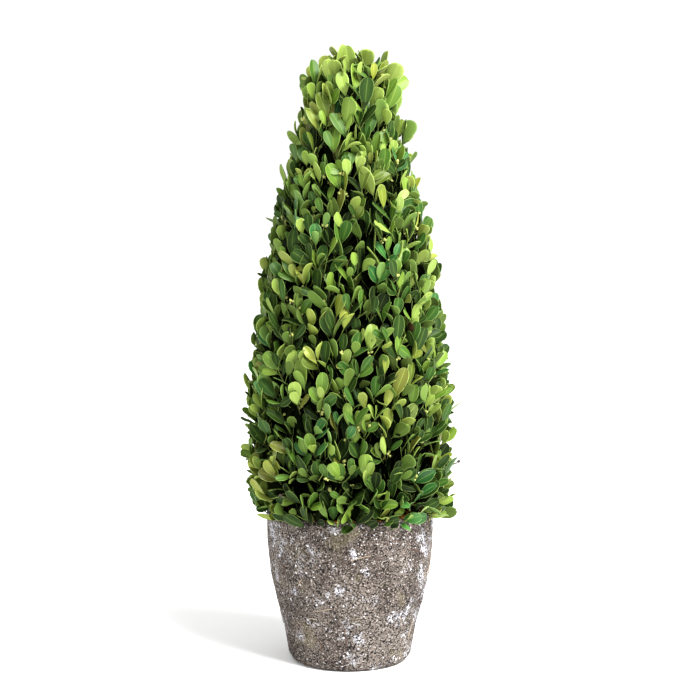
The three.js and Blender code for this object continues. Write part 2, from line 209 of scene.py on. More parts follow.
def crest(radius):
    """The height that leaf tips reach at a radius on the tuft's top."""
    return TOTAL_HEIGHT - CREST_DROP * (radius / CROWN.top_radius) ** 2


def sprig_length(start, height, elevation):
    """How long a sprig's twig is for its leaf tips to reach the crown's outline, from a radius and height."""
    reach, radius, top = 0.0, start, height
    while radius < crown_radius(top) and top < crest(radius):
        reach += 1.0
        radius, top = start + reach * math.cos(elevation), height + reach * math.sin(elevation)
    leaf_tip = LEAF.past * LEAF.length * LEAF.young * math.cos(math.radians(SPRIG.end_angle))
    return max(SPRIG.least, reach - leaf_tip) + SPRIG.sink


# ---------------- helpers

random = np.random.default_rng(SEED)


def spread(amount):
    return random.uniform(-amount, amount)


def level_way(azimuth):
    """The level direction at an azimuth in radians."""
    return np.array([math.cos(azimuth), math.sin(azimuth), 0.0])


def unit(vector):
    return vector / max(np.linalg.norm(vector), TINY)


def turned_about(vector, axis, angle):
    return (
        vector * math.cos(angle)
        + np.cross(axis, vector) * math.sin(angle)
        + axis * (axis @ vector) * (1 - math.cos(angle))
    )


def add_object(name, data):
    added = bpy.data.objects.new(name, data)
    bpy.context.scene.collection.objects.link(added)
    return added


def mesh_piece(name, points, faces, materials, face_materials=None):
    """A smooth mesh object, from points in millimetres and arrays of faces with as many corners each."""
    mesh = bpy.data.meshes.new(name)
    corners = np.concatenate([part.reshape(-1) for part in faces]).astype(np.int32)
    totals = np.concatenate([np.full(len(part), part.shape[1]) for part in faces]).astype(np.int32)
    mesh.vertices.add(len(points))
    mesh.vertices.foreach_set("co", (np.asarray(points) * MM).astype(np.float32).reshape(-1))
    mesh.loops.add(len(corners))
    mesh.loops.foreach_set("vertex_index", corners)
    mesh.polygons.add(len(totals))
    mesh.polygons.foreach_set("loop_start", np.concatenate([[0], np.cumsum(totals)[:-1]]).astype(np.int32))
    for material in materials:
        mesh.materials.append(material)
    if face_materials is not None:
        mesh.polygons.foreach_set("material_index", np.asarray(face_materials, dtype=np.int32))
    mesh.update(calc_edges=True)
    mesh.validate()
    mesh.shade_smooth()
    return add_object(name, mesh)


def finish_piece(piece, slot, *nodes):
    """Every piece rides on the plant's one body."""
    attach(piece, "root")
    if nodes:
        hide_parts(*nodes)


def foliage_slot(tier_name):
    return "foliage_top" if tier_name == "crown" else "foliage"


def tube_faces(start, rings, sides):
    """The quads between rings of points, and the fans that close both ends on the two points after them."""
    around = np.arange(sides)
    after = (around + 1) % sides
    low = start + sides * np.arange(rings - 1)[:, None]
    high = low + sides
    quads = np.stack([low + around, low + after, high + after, high + around], axis=-1)
    top = start + (rings - 1) * sides
    hubs = np.full(sides, top + sides)
    first = np.stack([hubs, start + after, start + around], axis=-1)
    last = np.stack([hubs + 1, top + around, top + after], axis=-1)
    return quads.reshape(-1, 4), np.concatenate([first, last])


def lathe(profile, segments):
    """The points and faces of a solid of revolution whose profile starts and ends on the axis."""
    ring = np.array(profile[1:-1])
    angles = np.arange(segments) * 2 * math.pi / segments
    x = ring[:, 0, None] * np.cos(angles)
    y = ring[:, 0, None] * np.sin(angles)
    z = np.repeat(ring[:, 1, None], segments, axis=1)
    points = np.stack([x, y, z], axis=-1).reshape(-1, 3)
    ends = [[0, 0, profile[0][1]], [0, 0, profile[-1][1]]]
    return np.concatenate([points, ends]), tube_faces(0, len(ring), segments)


class Tubes:
    """Tapered tubes along lines of points, gathered into one mesh. A tube's kind is its material's number."""

    # How much of a line's first direction may be upward for UP to still say which way is across it.
    STEEP = 0.9

    def __init__(self, sides):
        self.sides = sides
        self.points = []
        self.count = 0
        # The quads and the fans at the ends, then the kinds of each.
        self.faces = ([], [])
        self.kinds = ([], [])

    def add(self, line, radii, kind=0):
        line = np.asarray(line, dtype=float)
        along = np.gradient(line, axis=0)
        along /= np.linalg.norm(along, axis=1, keepdims=True)
        steep = abs(along[0] @ UP) > self.STEEP
        first = unit(np.cross(along[0], level_way(0.0) if steep else UP))
        angles = np.arange(self.sides) * 2 * math.pi / self.sides
        cosines, sines = np.cos(angles)[:, None], np.sin(angles)[:, None]
        rings = []
        for point, way, radius in zip(line, along, radii):
            first = unit(first - way * (first @ way))
            rings.append(point + radius * (cosines * first + sines * np.cross(way, first)))
        self.points += [*rings, line[:1], line[-1:]]
        quads, fans = tube_faces(self.count, len(line), self.sides)
        self.faces[0].append(quads)
        self.faces[1].append(fans)
        self.kinds[0].append(np.full(len(quads), kind))
        self.kinds[1].append(np.full(len(fans), kind))
        self.count += len(line) * self.sides + 2

    def piece(self, name, materials):
        faces = [np.concatenate(part) for part in self.faces]
        kinds = np.concatenate(self.kinds[0] + self.kinds[1])
        return mesh_piece(name, np.concatenate(self.points), faces, materials, kinds)


# ---------------- materials


def linear(colour):
    """An sRGB colour from 0 to 255 as the linear values that shaders take."""
    shares = np.array(colour) / 255
    return np.where(shares <= 0.04045, shares / 12.92, ((shares + 0.055) / 1.055) ** 2.4)


def plain_material(name, colour, roughness, gloss=0.5):
    material = bpy.data.materials.new(name)
    material.use_nodes = True
    shader = material.node_tree.nodes["Principled BSDF"]
    shader.inputs["Base Color"].default_value = (*linear(colour), 1)
    shader.inputs["Roughness"].default_value = roughness
    shader.inputs["Specular IOR Level"].default_value = gloss
    return material


class Nodes:
    """Short calls for building a material's node tree. Scales are per metre."""

    # A Mix node has a socket for each type of data. These are its colour sockets.
    MIX_COLOURS = (6, 7)
    MIX_RESULT = 2

    def __init__(self, material):
        self.tree = material.node_tree
        self.shader = self.tree.nodes["Principled BSDF"]
        self.place = self.tree.nodes.new("ShaderNodeTexCoord").outputs["Object"]

    def feed(self, socket, value):
        """Sets a socket to a number, a vector or an sRGB colour, or links an output to it."""
        if isinstance(value, bpy.types.NodeSocket):
            self.tree.links.new(value, socket)
        else:
            socket.default_value = (*linear(value), 1) if socket.type == "RGBA" else value

    def node(self, kind, **values):
        """A new node, with values for its inputs. Underscores stand for the spaces in their names."""
        node = self.tree.nodes.new(kind)
        for name, value in values.items():
            self.feed(node.inputs[name.replace("_", " ")], value)
        return node

    def noise(self, scale, detail=2.0, roughness=0.5, stretch=None):
        place = self.place
        if stretch is not None:
            place = self.node("ShaderNodeMapping", Vector=place, Scale=stretch).outputs["Vector"]
        values = {"Vector": place, "Scale": scale, "Detail": detail, "Roughness": roughness}
        return self.node("ShaderNodeTexNoise", **values).outputs["Fac"]

    def cells(self, scale):
        return self.node("ShaderNodeTexVoronoi", Vector=self.place, Scale=scale).outputs["Distance"]

    def ramp(self, value, low, high):
        """0 below low and 1 above high, or the other way round."""
        ends = {"To_Min": 0, "To_Max": 1} if low < high else {"To_Min": 1, "To_Max": 0}
        low, high = min(low, high), max(low, high)
        node = self.node("ShaderNodeMapRange", Value=value, From_Min=low, From_Max=high, **ends)
        node.interpolation_type = "SMOOTHSTEP"
        return node.outputs["Result"]

    def maths(self, operation, a, b):
        node = self.tree.nodes.new("ShaderNodeMath")
        node.operation = operation
        self.feed(node.inputs[0], a)
        self.feed(node.inputs[1], b)
        return node.outputs["Value"]

    def times(self, a, b):
        return self.maths("MULTIPLY", a, b)

    def plus(self, a, b):
        return self.maths("ADD", a, b)

    def along(self, axis):
        return self.node("ShaderNodeSeparateXYZ", Vector=self.place).outputs[axis]

    def blend(self, share, a, b):
        """A colour from a to b. Each is an sRGB colour or an output."""
        node = self.tree.nodes.new("ShaderNodeMix")
        node.data_type = "RGBA"
        self.feed(node.inputs["Factor"], share)
        self.feed(node.inputs[self.MIX_COLOURS[0]], a)
        self.feed(node.inputs[self.MIX_COLOURS[1]], b)
        return node.outputs[self.MIX_RESULT]

    def bump(self, height, distance):
        bump = self.node("ShaderNodeBump", Height=height, Distance=distance)
        self.feed(self.shader.inputs["Normal"], bump.outputs["Normal"])

    def colour(self, output):
        self.feed(self.shader.inputs["Base Color"], output)


# ---------------- leaf shapes

# A leaf's rows are shares of the way to its widest place, then shares of the quarter turn round its tip. Its
# columns run across it, with margin, blade, inner blade and midrib between them. The strips between its rows
# are so many tones darkened from its tip's, as painted shade towards its base.
BLADE, INNER, EDGE, RIB, UNDER = range(5)
ZONES = 5
OUTER_LEAF = {
    "base": [0, 0.1, 0.3, 0.62, 1],
    "tip": [0.3, 0.58, 0.82, 1],
    "columns": [-1, -0.9, -0.5, -0.07, 0.07, 0.5, 0.9, 1],
    "upper": [EDGE, BLADE, INNER, RIB, INNER, BLADE, EDGE],
    "lower": [EDGE, UNDER, UNDER, RIB, UNDER, UNDER, EDGE],
    "darker": [3, 1, 0, 0, 0, 0, 0, 0],
}
# The plain kind that stands in the shade behind the others.
INNER_LEAF = {
    "base": [0, 0.3, 1],
    "tip": [0.55, 1],
    "columns": [-1, -0.4, 0.4, 1],
    "upper": [BLADE, BLADE, BLADE],
    "lower": [UNDER, UNDER, UNDER],
    "darker": [2, 1, 0, 0],
}
# How many shapes of leaf there are, and the most triangles in a piece.
VARIANTS = 40
PIECE_LIMIT = 170_000
# Measures of a leaf of length 1.
BLADE_FORM = Values(
    tip_power=0.8, rib_half=0.2, least_swell=0.06, notch_half=0.35, wave_turn=5, rib_height=0.006,
    twist_from=0.4, thick=0.018, rib_thick=0.012,
)


def leaf_topology(kind):
    """The faces of a closed leaf. Its upper and lower sides share the vertices of its outline."""
    rows, columns = len(kind["base"]) + len(kind["tip"]), len(kind["columns"])
    upper = np.arange(rows * columns).reshape(rows, columns)
    lower = upper.copy()
    inside = (rows - 2) * (columns - 2)
    lower[1:-1, 1:-1] = rows * columns + np.arange(inside).reshape(rows - 2, columns - 2)
    quads, zones, steps = [], [], []
    for i in range(rows - 1):
        for j in range(columns - 1):
            quads.append([upper[i, j], upper[i + 1, j], upper[i + 1, j + 1], upper[i, j + 1]])
            zones.append(kind["upper"][j])
            quads.append([lower[i, j], lower[i, j + 1], lower[i + 1, j + 1], lower[i + 1, j]])
            zones.append(kind["lower"][j])
            steps += 2 * [kind["darker"][i]]
    return np.array(quads), np.array(zones), np.array(steps)


def leaf_form():
    """The numbers that make one leaf differ from the next."""
    return {
        "widest": random.uniform(0.56, 0.7),
        "half": random.uniform(0.2, 0.29),
        "wedge": random.uniform(1.0, 1.5),
        "notch": random.choice([0, 0, 0.02, 0.04]),
        "fold": random.uniform(-0.05, 0.5),
        "cup": random.uniform(-1.8, 0.5),
        "curl": random.uniform(-0.26, 0.12),
        "wave": random.uniform(0, 0.02),
        "phase": random.uniform(0, 2 * math.pi),
        "twist": spread(0.5),
    }


def leaf_shape(kind, form):
    """One leaf of length 1 along X with its upper side towards +Z, as the vertices of leaf_topology."""
    base, turn = np.array(kind["base"]), np.array(kind["tip"]) * math.pi / 2
    widest = form["widest"]
    t = np.concatenate([widest * base, widest + (1 - widest) * np.sin(turn)])[:, None]
    tip_swell = np.abs(np.cos(turn)) ** BLADE_FORM.tip_power
    swell = np.concatenate([np.sin(base * math.pi / 2) ** form["wedge"], tip_swell])
    s = np.array(kind["columns"], dtype=float)[None, :]
    near_rib = np.abs(s) < BLADE_FORM.rib_half
    y = s * (form["half"] * np.maximum(swell, BLADE_FORM.least_swell))[:, None]
    x = t - form["notch"] * t**8 * np.exp(-((s / BLADE_FORM.notch_half) ** 2))
    z = form["fold"] * np.abs(y) + form["cup"] * y**2 + form["curl"] * t**2
    z = z + form["wave"] * s * np.sin(BLADE_FORM.wave_turn * t + form["phase"])
    z = z + BLADE_FORM.rib_height * near_rib * np.sin(math.pi * t)
    twist = form["twist"] * (t - BLADE_FORM.twist_from)
    y, z = y * np.cos(twist) - z * np.sin(twist), y * np.sin(twist) + z * np.cos(twist)
    thick = BLADE_FORM.thick + BLADE_FORM.rib_thick * near_rib
    upper = np.stack([x, y, z], axis=-1)
    lower = np.stack([x, y, z - thick], axis=-1)[1:-1, 1:-1]
    return np.concatenate([upper.reshape(-1, 3), lower.reshape(-1, 3)])


# ---------------- leaf colours

# The edge's pale colour: partly the leaf's own margin and partly a painted rim highlight.
PALE_MARGIN_AND_RIM_HIGHLIGHT = (164, 184, 100)
PALE_RIB = (160, 178, 84)
PALE_UNDER = (126, 144, 62)
# How much paler a tone's edge, rib and underside are, and how glossy it is. The pale edge is partly the
# leaf's own margin and partly a painted rim highlight.
PALER = Values(shade=0.1, old=0.4, young=0.6, blade=0.05, rib=0.6)
GLOSS = Values(brown=0.05, old=0.0, young=0.24)
# Each tone's upper colour: from the darkest, which is painted shade for leaves deep behind others, to young
# ones, then the odd olive and brown, then yellower and last bluer forms of the tones between.
TONES = [
    (6, 10, 3), (16, 27, 9), (28, 48, 14), (38, 68, 21),
    (54, 84, 25), (74, 102, 30), (94, 120, 38), (112, 134, 54),
    (84, 88, 28), (42, 28, 16),
    (68, 84, 22), (92, 104, 28), (116, 124, 38), (130, 138, 52),
    (26, 68, 26), (38, 86, 36), (54, 106, 44),
]
# The first is the painted shade of leaves deep behind others, the second the darkest tone that painted shade
# brings a leaf's base to.
SHADE, DARKEST_PAINTED_BASE, YOUNGEST, OLIVE, BROWN = 0, 1, 7, 8, 9
# Some sprays are yellower and some bluer: which tone stands in for which on them. The waves that deal them
# out have so many turns round the crown and a run of height each, and it is their sum that counts.
WARM = {4: 10, 5: 11, 6: 12, 7: 13}
COOL = {3: 14, 4: 15, 5: 16}
HUE_WAVES = [(2, 23), (5, -37)]
WARM_ABOVE = 0.75
COOL_BELOW = -1.25
# A sprig's usual tone low down and high up, and how much younger it is at the crown's top and foot.
SPRIG_TONE = Values(low=2.85, high=3.0, top=3.1, top_power=8, foot=0.5, foot_power=9)
# How much tones scatter from sprig to sprig, on side twigs and from leaf to leaf.
TONE_SCATTER = Values(sprig=1.2, side=0.7, leaf=1.5)
# How much younger leaves are towards a twig's tip and where the usual ones are, and by how many tones of
# painted shade per millimetre they darken from which depth on.
LEAF_TONE = Values(younger=2.5, start=0.72, darker=0.35, depth=4.5)
# The share of brown leaves, of brown or olive ones, and of all but those dealt one of the youngest tones.
BROWN_SHARE = 0.0015
ODD_SHARE = 0.025
USUAL_SHARE = 0.915
YOUNG_TONES = 3


def toned(colour, towards, share):
    return tuple(mix(np.array(colour, dtype=float), np.array(towards, dtype=float), share))


def leaf_materials():
    """Plain colours, one for each zone of each tone."""
    found = []
    for index, tone in enumerate(TONES):
        youth = clamp01(index / YOUNGEST)
        pale = PALER.shade if index in (SHADE, BROWN) else mix(PALER.old, PALER.young, youth)
        gloss = GLOSS.brown if index == BROWN else mix(GLOSS.old, GLOSS.young, youth)
        zones = [
            (tone, 0.4),
            (toned(tone, PALE_RIB, PALER.blade), 0.4),
            (toned(tone, PALE_MARGIN_AND_RIM_HIGHLIGHT, pale), 0.5),
            (toned(tone, PALE_RIB, PALER.rib * pale), 0.5),
            (toned(tone, PALE_UNDER, pale), 0.6),
        ]
        for zone, (colour, roughness) in enumerate(zones):
            found.append(plain_material(f"leaf_{index}_{zone}", colour, roughness, gloss))
    return found


# ---------------- growth


class Crown:
    """The leaves placed so far, as arrays, so that a new leaf is tested against its neighbours."""

    # How many leaves there is room for, and how near another's centre is for it to be tested.
    ROOM = 9000
    NEAR = 24.0
    # The flat oval that stands for a leaf: half its length and width as shares of the leaf's length, and how
    # much of it counts.
    HALF_LENGTH = 0.5
    HALF_WIDTH = 0.25
    OVAL = 0.85
    # Lines along and across a leaf of length 1, each as two points. A leaf that none of them enters is clear.
    LINES = np.array(
        [
            [0.15, 0, 1, 0],
            [0.4, -0.2, 0.4, 0.2],
            [0.62, -0.24, 0.62, 0.24],
            [0.85, -0.15, 0.85, 0.15],
            [0.3, -0.18, 0.92, -0.13],
            [0.3, 0.18, 0.92, 0.13],
        ]
    )

    def __init__(self):
        self.count = 0
        self.root, self.heading, self.across, self.upper, self.centre = np.zeros((5, self.ROOM, 3))
        self.length = np.zeros(self.ROOM)
        self.variant, self.tone, self.tier = np.zeros((3, self.ROOM), dtype=int)
        self.inner = np.zeros(self.ROOM, dtype=bool)
        self.lines = np.zeros((self.ROOM, 2, len(self.LINES), 3))

    def lines_of(self, root, heading, across, length):
        """Both ends of the lines along and across a flat leaf."""
        ends = self.LINES.reshape(-1, 2, 2).transpose(1, 0, 2) * length
        return root + ends[..., 0, None] * heading + ends[..., 1, None] * across

    def cut(self, first, last, centre, heading, across, upper, length):
        """Whether lines pass through flat oval leaves. All arguments broadcast."""
        before = np.sum((first - centre) * upper, axis=-1)
        after = np.sum((last - centre) * upper, axis=-1)
        share = before / np.where(np.abs(before - after) < TINY, TINY, before - after)
        at = first + share[..., None] * (last - first) - centre
        along = np.sum(at * heading, axis=-1) / (self.HALF_LENGTH * length)
        aside = np.sum(at * across, axis=-1) / (self.HALF_WIDTH * length)
        return (before * after < 0) & (along**2 + aside**2 < self.OVAL)

    def crossings(self, root, heading, across, upper, length):
        """How many leaves a new one would cut through."""
        centre = root + heading * length * self.HALF_LENGTH
        gap = np.sum((self.centre[: self.count] - centre) ** 2, axis=1)
        near = np.flatnonzero(gap < self.NEAR**2)
        if not len(near):
            return 0
        mine = self.lines_of(root, heading, across, length)
        theirs = self.lines[near]
        planes = (vectors[near][:, None] for vectors in (self.centre, self.heading, self.across, self.upper))
        hit = self.cut(mine[0], mine[1], *planes, self.length[near][:, None]).any(axis=1)
        hit |= self.cut(theirs[:, 0], theirs[:, 1], centre, heading, across, upper, length).any(axis=1)
        return int(hit.sum())

    def add(self, tier, tone, root, heading, across, upper, length, inner):
        i = self.count
        self.root[i], self.heading[i], self.across[i], self.upper[i] = root, heading, across, upper
        self.centre[i] = root + heading * length * self.HALF_LENGTH
        self.lines[i] = self.lines_of(root, heading, across, length)
        self.length[i], self.tone[i], self.tier[i], self.inner[i] = length, tone, tier, inner
        self.variant[i] = random.integers(VARIANTS)
        self.count += 1


crown = Crown()
TWIG_SIDES = 5
OLD_TWIG, YOUNG_TWIG = range(2)
twig_tubes = [Tubes(TWIG_SIDES) for _ in TIERS]
leaf_sites = []
bud_sites = []


def along_twig(twig, share):
    """A point on a twig's gentle bend, and its direction there."""
    reach = twig["length"] * share
    point = twig["base"] + twig["heading"] * reach + twig["bend"] * (share * reach)
    return point, unit(twig["heading"] + 2 * share * twig["bend"])


def pair_shares(length, bare):
    """Where a twig's pairs of leaves sit, from its tip down. They are closest together at the tip."""
    place, step = SPRIG.last_pair * length, SPRIG.internode
    shares = []
    while place > bare:
        shares.append(place / length)
        place -= step
        step *= SPRIG.growth
    return shares


def grow_twig(tier, twig):
    """A twig with its pairs of leaves, each a quarter round from the last, and a sprig's side twigs."""
    shares = np.linspace(0, 1, twig["steps"] + 1)
    line = [along_twig(twig, share)[0] for share in shares]
    radii = twig["radius"] * (1 - SPRIG.taper * shares)
    twig_tubes[tier].add(line, radii, kind=YOUNG_TWIG if twig["is_side"] else OLD_TWIG)
    quarter = random.integers(2)
    bare = SIDE.bare * twig["length"] if twig["is_side"] else SPRIG.bare
    for index, share in enumerate(pair_shares(twig["length"], bare)):
        point, heading = along_twig(twig, share)
        side = unit(twig["side"] - heading * (twig["side"] @ heading))
        if (index + quarter) % 2:
            side = np.cross(heading, side)
        side = turned_about(side, heading, math.radians(spread(SPRIG.pair_turn)))
        for way in (side, -side):
            site = {"tier": tier, "point": point, "way": way, "heading": heading, "share": share}
            leaf_sites.append(site | {key: twig[key] for key in ("tone", "hues", "size", "clear")})
        if not twig["is_side"] and SIDE.lowest < share < SIDE.highest:
            for way in (side, -side):
                if random.random() < SIDE.share:
                    grow_side_twig(tier, twig, point, heading, way)
        if random.random() < BUDS.share:
            bud_sites.append((tier, point, heading))


def grow_side_twig(tier, twig, point, heading, way):
    angle = math.radians(SIDE.angle + spread(SPRIG.jitter))
    towards = heading * math.cos(angle) + way * math.sin(angle)
    towards = unit(towards + random.normal(0, SIDE.scatter, 3))
    length = twig["length"] * SIDE.length * random.uniform(*SIDE.lengths)
    tip = point + towards * (length + LEAF.length * SIDE.past)
    over = np.hypot(tip[0], tip[1]) - crown_radius(tip[2])
    if over > 0:
        length = max(SIDE.least_mm, length - over)
    branch = twig | {
        "is_side": True,
        "steps": SIDE.steps,
        "base": point,
        "heading": towards,
        "side": unit(np.cross(towards, np.cross(heading, way))),
        "bend": unit(UP + random.normal(0, SIDE.bend_scatter, 3)) * SPRIG.bend,
        "length": length,
        "radius": twig["radius"] * SIDE.radius,
        "tone": twig["tone"] + spread(TONE_SCATTER.side),
        "size": twig["size"] * SIDE.leaf,
    }
    grow_twig(tier, branch)


def sprig_tone(share):
    """A sprig's usual tone at a share of the crown's height."""
    usual = mix(SPRIG_TONE.low, SPRIG_TONE.high, share)
    usual += SPRIG_TONE.top * share ** SPRIG_TONE.top_power
    return usual + SPRIG_TONE.foot * (1 - share) ** SPRIG_TONE.foot_power


def spray_hues(azimuth, height):
    """The tones that stand in for others on a spray. Sprays of like hue stand in loose groups."""
    wave = sum(math.sin(turns * azimuth + height / run) for turns, run in HUE_WAVES)
    if wave > WARM_ABOVE:
        return WARM
    return COOL if wave < COOL_BELOW else {}


def grow_sprig(tier, azimuth, radius, height, elevation, length, size=1.0, clear=-OUTLINE.inset):
    """A sprig leaves the core at an azimuth, radius and height, and rises by an angle from level."""
    outward = level_way(azimuth)
    level = np.array([-math.sin(azimuth), math.cos(azimuth), 0.0])
    heading = outward * math.cos(elevation) + UP * math.sin(elevation)
    base = outward * radius + UP * height - heading * SPRIG.sink
    share = clamp01((height - CORE.bottom) / (CORE.top - CORE.bottom))
    sprig = {
        "is_side": False,
        "steps": SPRIG.steps,
        "base": base,
        "heading": heading,
        "side": turned_about(level, heading, random.uniform(0, math.pi)),
        "bend": unit(UP * math.cos(elevation) + random.normal(0, SPRIG.bend_scatter, 3)) * SPRIG.bend,
        "length": length * random.uniform(*SPRIG.lengths),
        "radius": SPRIG.radius,
        "tone": random.normal(sprig_tone(share), TONE_SCATTER.sprig),
        "hues": spray_hues(azimuth, height),
        "size": size * random.uniform(*SPRIG.leaf_sizes),
        "clear": clear,
    }
    grow_twig(tier, sprig)


def grow_crown():
    rings = RING.count * FINER
    pitch = (RING.highest - RING.lowest) / (RING.count - 1) / FINER
    for index in range(rings):
        height = RING.lowest + (index - 0.5 * (FINER - 1)) * pitch
        tier = min(index // (RINGS_PER_TIER * FINER), len(TIERS) - 2)
        middle = (core_radius(height) + crown_radius(height)) / 2
        count = round(2 * math.pi * middle / SPRIG.pitch)
        offset = 0.5 * (index % 2) + 0.25 * (index // 2 % 2)
        for i in range(count):
            azimuth = (i + offset + spread(RING.scatter)) * 2 * math.pi / count
            start = height + pitch * spread(2 * RING.scatter)
            radius = core_radius(start)
            elevation = math.radians(rise(start) + spread(SPRIG.jitter))
            length = sprig_length(radius, start, elevation)
            grow_sprig(tier, azimuth, radius, start, elevation, length)
    grow_tuft(len(TIERS) - 1)
    grow_strays()


def grow_tuft(tier):
    """The sprigs that stand on the core's top. The middle ones' leaves reach the plant's full height."""
    for radius, height, count, rise_angle in TUFT:
        for i in range(count):
            azimuth = (i + spread(RING.scatter) + TUFT_TURN * radius) * 2 * math.pi / count
            elevation = math.radians(rise_angle + spread(SPRIG.jitter / 2))
            length = sprig_length(radius, height, elevation) - abs(spread(TUFT_SHORTER))
            start = height + spread(TUFT_SCATTER)
            grow_sprig(tier, azimuth, radius, start, elevation, length, TUFT_LEAF)


def grow_strays():
    """The extra sprigs, which are part of the crown's tuft or of its skirt."""
    for azimuth, radius, height, rise_angle, length, clear in STRAYS:
        tier = TIERS.index("crown" if height > RING.highest else "skirt")
        azimuth, elevation = math.radians(azimuth), math.radians(rise_angle)
        grow_sprig(tier, azimuth, radius, height, elevation, length, STRAY_LEAF, clear)


def leaf_tone(site, depth):
    """A leaf's tone: its sprig's, darkened by painted shade below the crown's side and younger towards the
    tip.
    """
    roll = random.random()
    if roll < BROWN_SHARE:
        return BROWN
    if roll < ODD_SHARE:
        return OLIVE
    if roll > USUAL_SHARE:
        return YOUNGEST - random.integers(YOUNG_TONES)
    tone = site["tone"] + random.normal(0, TONE_SCATTER.leaf)
    tone += LEAF_TONE.younger * (site["share"] - LEAF_TONE.start)
    # Painted shade: the deeper a leaf lies below the crown's side, the lower its tone, and the darkest tones
    # stay in the depth.
    tone -= LEAF_TONE.darker * max(0.0, depth - LEAF_TONE.depth)
    darkest = SHADE + int(depth < SHADE_DEPTH) + int(depth < DIM_DEPTH)
    tone = int(np.clip(round(tone), darkest, YOUNGEST))
    return site["hues"].get(tone, tone)


def grow_leaf(site):
    """A leaf at its site. It turns and shortens until it fits, and is left out if it never does."""
    share = site["share"]
    youth = clamp01((share - LEAF.young_from) / (1 - LEAF.young_from)) ** 2
    mature = mix(LEAF.old, LEAF.young, youth)
    length = np.clip(random.normal(LEAF.length, LEAF.spread), LEAF.shortest, LEAF.longest)
    length *= mature * site["size"]
    angle = math.radians(mix(SPRIG.low_angle, SPRIG.end_angle, share))
    root = site["point"]
    outward = unit(np.array([root[0] + site["way"][0], root[1] + site["way"][1], 0.0]))
    straggle = min(random.exponential(OUTLINE.straggle), OUTLINE.most)
    allowed = max(straggle - OUTLINE.inset, site["clear"])
    facing = random.uniform(0.0, STANCE.facing)
    roll = math.radians(spread(STANCE.roll))
    hanging = site["heading"][2] < 0
    hem = HEM.height - min(random.exponential(HEM.odd), HEM.most)
    hem += HEM.tilt * math.cos(math.atan2(root[1], root[0]) - math.radians(HEM.high_side))
    for attempt in range(LEAF.tries):
        turn = attempt / LEAF.tries
        divergence = angle + spread(STANCE.angle + STANCE.angle_more * turn)
        lift = (-UP if hanging and attempt % 2 else UP) * (STANCE.lift + STANCE.lift_more * turn)
        towards = site["heading"] * math.cos(divergence) + site["way"] * math.sin(divergence)
        towards = unit(towards + lift + random.normal(0, STANCE.scatter, 3))
        tipward = site["heading"] * math.sin(divergence) - site["way"] * math.cos(divergence)
        face = unit(tipward) * (1 - facing) + (outward + STANCE.ahead * site["heading"]) * facing
        across = turned_about(unit(np.cross(face, towards)), towards, roll)
        upper = np.cross(towards, across)
        tip = root + towards * length
        radius, height = np.hypot(tip[0], tip[1]), tip[2]
        if radius > crown_radius(height) + allowed or height > min(TOTAL_HEIGHT, crest(radius) + allowed):
            length *= STANCE.shorter
            continue
        if radius < core_radius(height) + GAP.core:
            continue
        over_rim = height < POT_HEIGHT + GAP.rim_top and radius < RIM_RADIUS + GAP.rim_side
        if height < hem or over_rim:
            continue
        depth = min(crown_radius(height) - radius, crest(radius) - height)
        inner = depth > INNER_DEPTH
        if crown.crossings(root, towards, across, upper, length) > (1 if inner else 0):
            continue
        crown.add(site["tier"], leaf_tone(site, depth), root, towards, across, upper, length, inner)
        return


def leaf_mesh(kind, shapes, chosen):
    """The points, faces and material numbers of the chosen leaves."""
    quads, zones, steps = leaf_topology(kind)
    shape = shapes[crown.variant[chosen]] * crown.length[chosen, None, None]
    points = (
        crown.root[chosen, None]
        + shape[..., 0, None] * crown.heading[chosen, None]
        + shape[..., 1, None] * crown.across[chosen, None]
        + shape[..., 2, None] * crown.upper[chosen, None]
    )
    faces = quads[None] + (np.arange(len(chosen)) * shapes.shape[1])[:, None, None]
    tone = crown.tone[chosen, None]
    # Painted shade: the strips near a leaf's base take darkened tones.
    darker = np.where(tone > YOUNGEST, tone, np.maximum(tone - steps[None], np.minimum(tone, DARKEST_PAINTED_BASE)))
    slots = darker * ZONES + zones[None]
    return points.reshape(-1, 3), faces.reshape(-1, 4), slots.reshape(-1)


def build_leaves():
    forms = [leaf_form() for _ in range(VARIANTS)]
    outer_shapes, inner_shapes = (
        np.stack([leaf_shape(kind, form) for form in forms]) for kind in (OUTER_LEAF, INNER_LEAF)
    )
    outer_cost, inner_cost = (2 * len(leaf_topology(kind)[0]) for kind in (OUTER_LEAF, INNER_LEAF))
    materials = leaf_materials()
    for tier, name in enumerate(TIERS):
        mine = np.flatnonzero(crown.tier[: crown.count] == tier)
        cost = np.where(crown.inner[mine], inner_cost, outer_cost).sum()
        groups = np.array_split(mine, math.ceil(cost / PIECE_LIMIT))
        for number, group in enumerate(groups):
            outer = leaf_mesh(OUTER_LEAF, outer_shapes, group[~crown.inner[group]])
            inner = leaf_mesh(INNER_LEAF, inner_shapes, group[crown.inner[group]])
            points = np.concatenate([outer[0], inner[0]])
            faces = np.concatenate([outer[1], inner[1] + len(outer[0])])
            slots = np.concatenate([outer[2], inner[2]])
            label = f"leaves_{name}" if len(groups) == 1 else f"leaves_{name}_{number + 1}"
            piece = mesh_piece(label, points, [faces], materials, slots)
            nodes = [f"foliage_{name}"] if number == 0 else []
            finish_piece(piece, foliage_slot(name), *nodes)


def build_twigs():
    materials = [
        plain_material("twig_old", (58, 60, 28), 0.8, gloss=0.1),
        plain_material("twig_young", (104, 124, 56), 0.7, gloss=0.1),
    ]
    for name, tubes in zip(TIERS, twig_tubes):
        finish_piece(tubes.piece(f"twigs_{name}", materials), foliage_slot(name))


